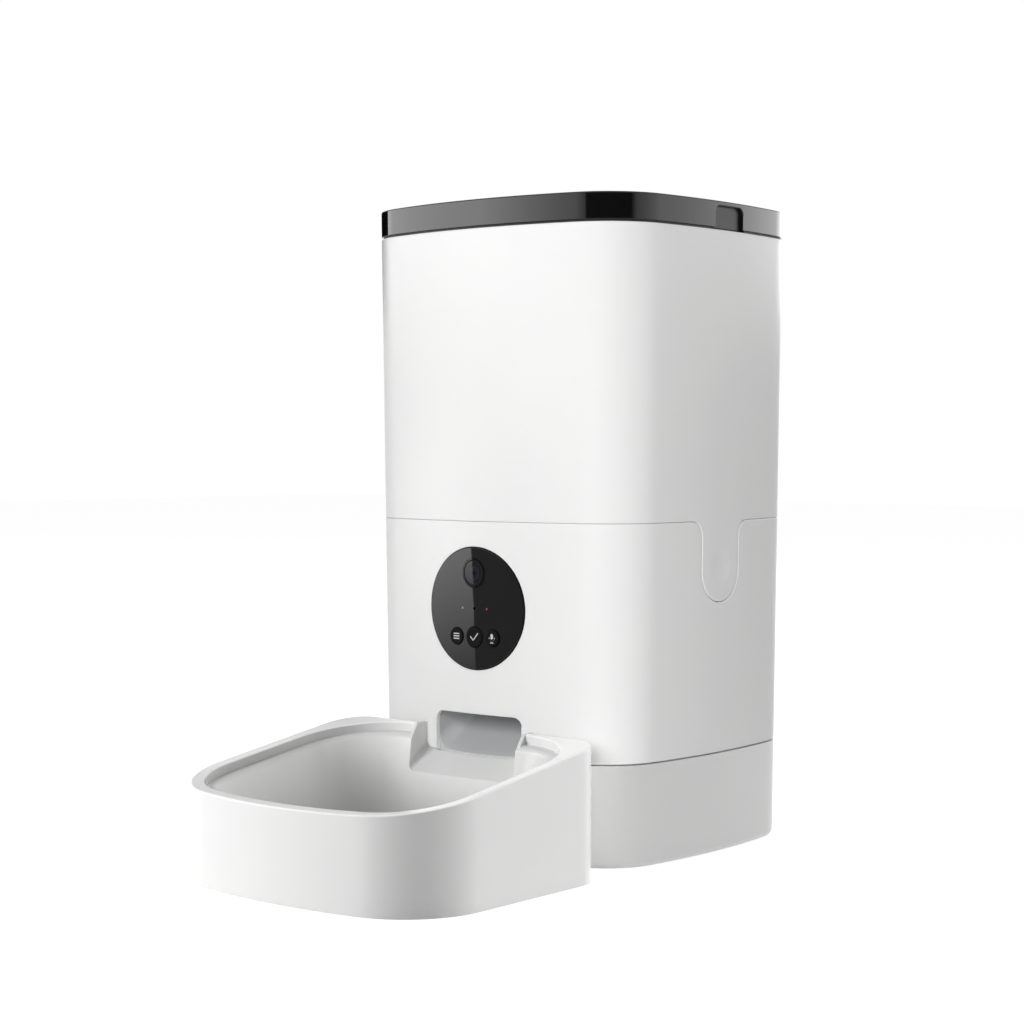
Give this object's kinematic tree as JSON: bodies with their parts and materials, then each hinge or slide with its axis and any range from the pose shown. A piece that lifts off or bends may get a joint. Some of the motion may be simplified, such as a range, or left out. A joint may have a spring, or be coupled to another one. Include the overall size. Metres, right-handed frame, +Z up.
{
  "type": "automatic pet feeder",
  "caption": "Automatic pet feeder: tapered white hopper with smoked lid, round black camera panel, feed rotor with gear train, front chute and sliding bowl with lift-out tray.",
  "frame": {"origin": "on the floor, at the centre of the footprint of body and bowl together", "axes": "+Z up, front with camera and bowl towards -Y, +X to the right seen from the front"},
  "size_m": [0.1914, 0.332, 0.345],
  "materials": {
    "white_abs": "moulded ABS, satin gloss",
    "bowl_abs": "moulded ABS, polished gloss",
    "smoked_acrylic": "smoked acrylic, polished",
    "panel_black": "black acrylic, polished",
    "button_black": "black ABS, polished",
    "lens_glass": "coated lens glass",
    "lens_black": "black anodised look, matte",
    "inner_abs": "moulded ABS, fine matte texture",
    "inner_grey": "grey ABS, matte",
    "acetal": "natural acetal, moulded",
    "silicone": "soft silicone",
    "foot_rubber": "soft rubber",
    "board_green": "glass-epoxy board with green mask",
    "black_part": "black moulded component",
    "blue_light": "clear tinted light pipe",
    "red_light": "clear tinted light pipe",
    "zinc_steel": "zinc-plated steel",
    "motor_steel": "drawn steel can",
    "brass": "machined brass"
  },
  "bodies": {
    "housing": {"base_tray": "white_abs", "mid_housing": "white_abs", "deck": "inner_abs", "chute": "white_abs", "camera_panel": "panel_black", "lens_window": "lens_glass", "lens_barrel": "lens_black", "front_board": "board_green", "button_switches": "black_part", "blue_light": "blue_light", "red_light": "red_light", "microphone": "zinc_steel", "board_screws": "zinc_steel", "speaker": "black_part", "speaker_grille": "white_abs", "gearbox_case": "inner_grey", "gearbox_cover": "inner_grey", "gearbox_screws": "zinc_steel", "idler_pin": "zinc_steel", "drive_motor": "motor_steel", "control_board": "board_green", "battery_box": "inner_abs", "battery_contacts": "zinc_steel", "power_inlet": "black_part", "base_feet": "foot_rubber", "base_screws": "zinc_steel", "deck_screws": "zinc_steel"},
    "output_gear": {"output_gear": "acetal"},
    "idler_gear": {"idler_gear": "acetal"},
    "motor_pinion": {"motor_pinion": "brass"},
    "hopper": {"hopper_shell": "white_abs", "hopper_funnel": "inner_abs", "rotor_cup": "inner_abs", "outlet_guard": "inner_abs"},
    "rotor": {"rotor_hub": "acetal", "rotor_paddles": "silicone", "stir_arm": "acetal"},
    "right_tab": {"right_release_tab": "white_abs"},
    "left_tab": {"left_release_tab": "white_abs"},
    "lid": {"lid_cover": "smoked_acrylic", "lid_liner": "black_part", "lid_gasket": "silicone", "desiccant_box": "inner_abs"},
    "desiccant_cap": {"desiccant_cap": "inner_grey"},
    "bowl": {"bowl_holder": "bowl_abs", "bowl_feet": "foot_rubber"},
    "tray": {"food_tray": "bowl_abs"},
    "left_button": {"left_button": "button_black"},
    "middle_button": {"middle_button": "button_black"},
    "right_button": {"right_button": "button_black"},
    "battery_door": {"battery_door": "white_abs"}
  },
  "joints": [
    {"name": "hopper_lift", "type": "slide", "parent": "housing", "child": "hopper", "axis": [0, 0, 1], "range_m": [0, 0.12]},
    {"name": "lid_lift", "type": "slide", "parent": "hopper", "child": "lid", "axis": [0, 0, 1], "range_m": [0, 0.12]},
    {"name": "desiccant_turn", "type": "hinge", "parent": "lid", "child": "desiccant_cap", "pos_m": [0, 0.0725, 0.312], "axis": [0, 0, 1], "range_deg": [0, 45]},
    {"name": "rotor_spin", "type": "hinge", "parent": "hopper", "child": "rotor", "pos_m": [0, 0.0725, 0.11], "axis": [0, 0, 1], "continuous": true},
    {"name": "output_spin", "type": "hinge", "parent": "housing", "child": "output_gear", "pos_m": [0, 0.0725, 0.095], "axis": [0, 0, 1], "continuous": true},
    {"name": "idler_spin", "type": "hinge", "parent": "housing", "child": "idler_gear", "pos_m": [0, 0.0935, 0.09], "axis": [0, 0, 1], "continuous": true},
    {"name": "pinion_spin", "type": "hinge", "parent": "housing", "child": "motor_pinion", "pos_m": [0, 0.1127, 0.085], "axis": [0, 0, 1], "continuous": true},
    {"name": "right_tab_flex", "type": "hinge", "parent": "hopper", "child": "right_tab", "pos_m": [0.0899, 0.0725, 0.1777], "axis": [0, 1, 0], "range_deg": [0, 3], "stiffness_Nm_per_rad": 4},
    {"name": "left_tab_flex", "type": "hinge", "parent": "hopper", "child": "left_tab", "pos_m": [-0.0899, 0.0725, 0.1777], "axis": [0, -1, 0], "range_deg": [0, 3], "stiffness_Nm_per_rad": 4},
    {"name": "bowl_pull", "type": "slide", "parent": "housing", "child": "bowl", "axis": [0, -1, 0], "range_m": [0, 0.09]},
    {"name": "tray_lift", "type": "slide", "parent": "bowl", "child": "tray", "axis": [0, 0, 1], "range_m": [0, 0.09]},
    {"name": "left_button_press", "type": "slide", "parent": "housing", "child": "left_button", "axis": [0, 1, 0], "range_m": [0, 0.0008], "stiffness_N_per_m": 600},
    {"name": "middle_button_press", "type": "slide", "parent": "housing", "child": "middle_button", "axis": [0, 1, 0], "range_m": [0, 0.0008], "stiffness_N_per_m": 600},
    {"name": "right_button_press", "type": "slide", "parent": "housing", "child": "right_button", "axis": [0, 1, 0], "range_m": [0, 0.0008], "stiffness_N_per_m": 600},
    {"name": "battery_door_swing", "type": "hinge", "parent": "housing", "child": "battery_door", "pos_m": [0, 0.04145, 0.0028], "axis": [-1, 0, 0], "range_deg": [0, 100]}
  ],
  "couplings": [
    {"joint": "output_spin", "follows": "rotor_spin", "ratio": 1},
    {"joint": "idler_spin", "follows": "rotor_spin", "ratio": -2.5},
    {"joint": "pinion_spin", "follows": "rotor_spin", "ratio": 7.5}
  ]
}
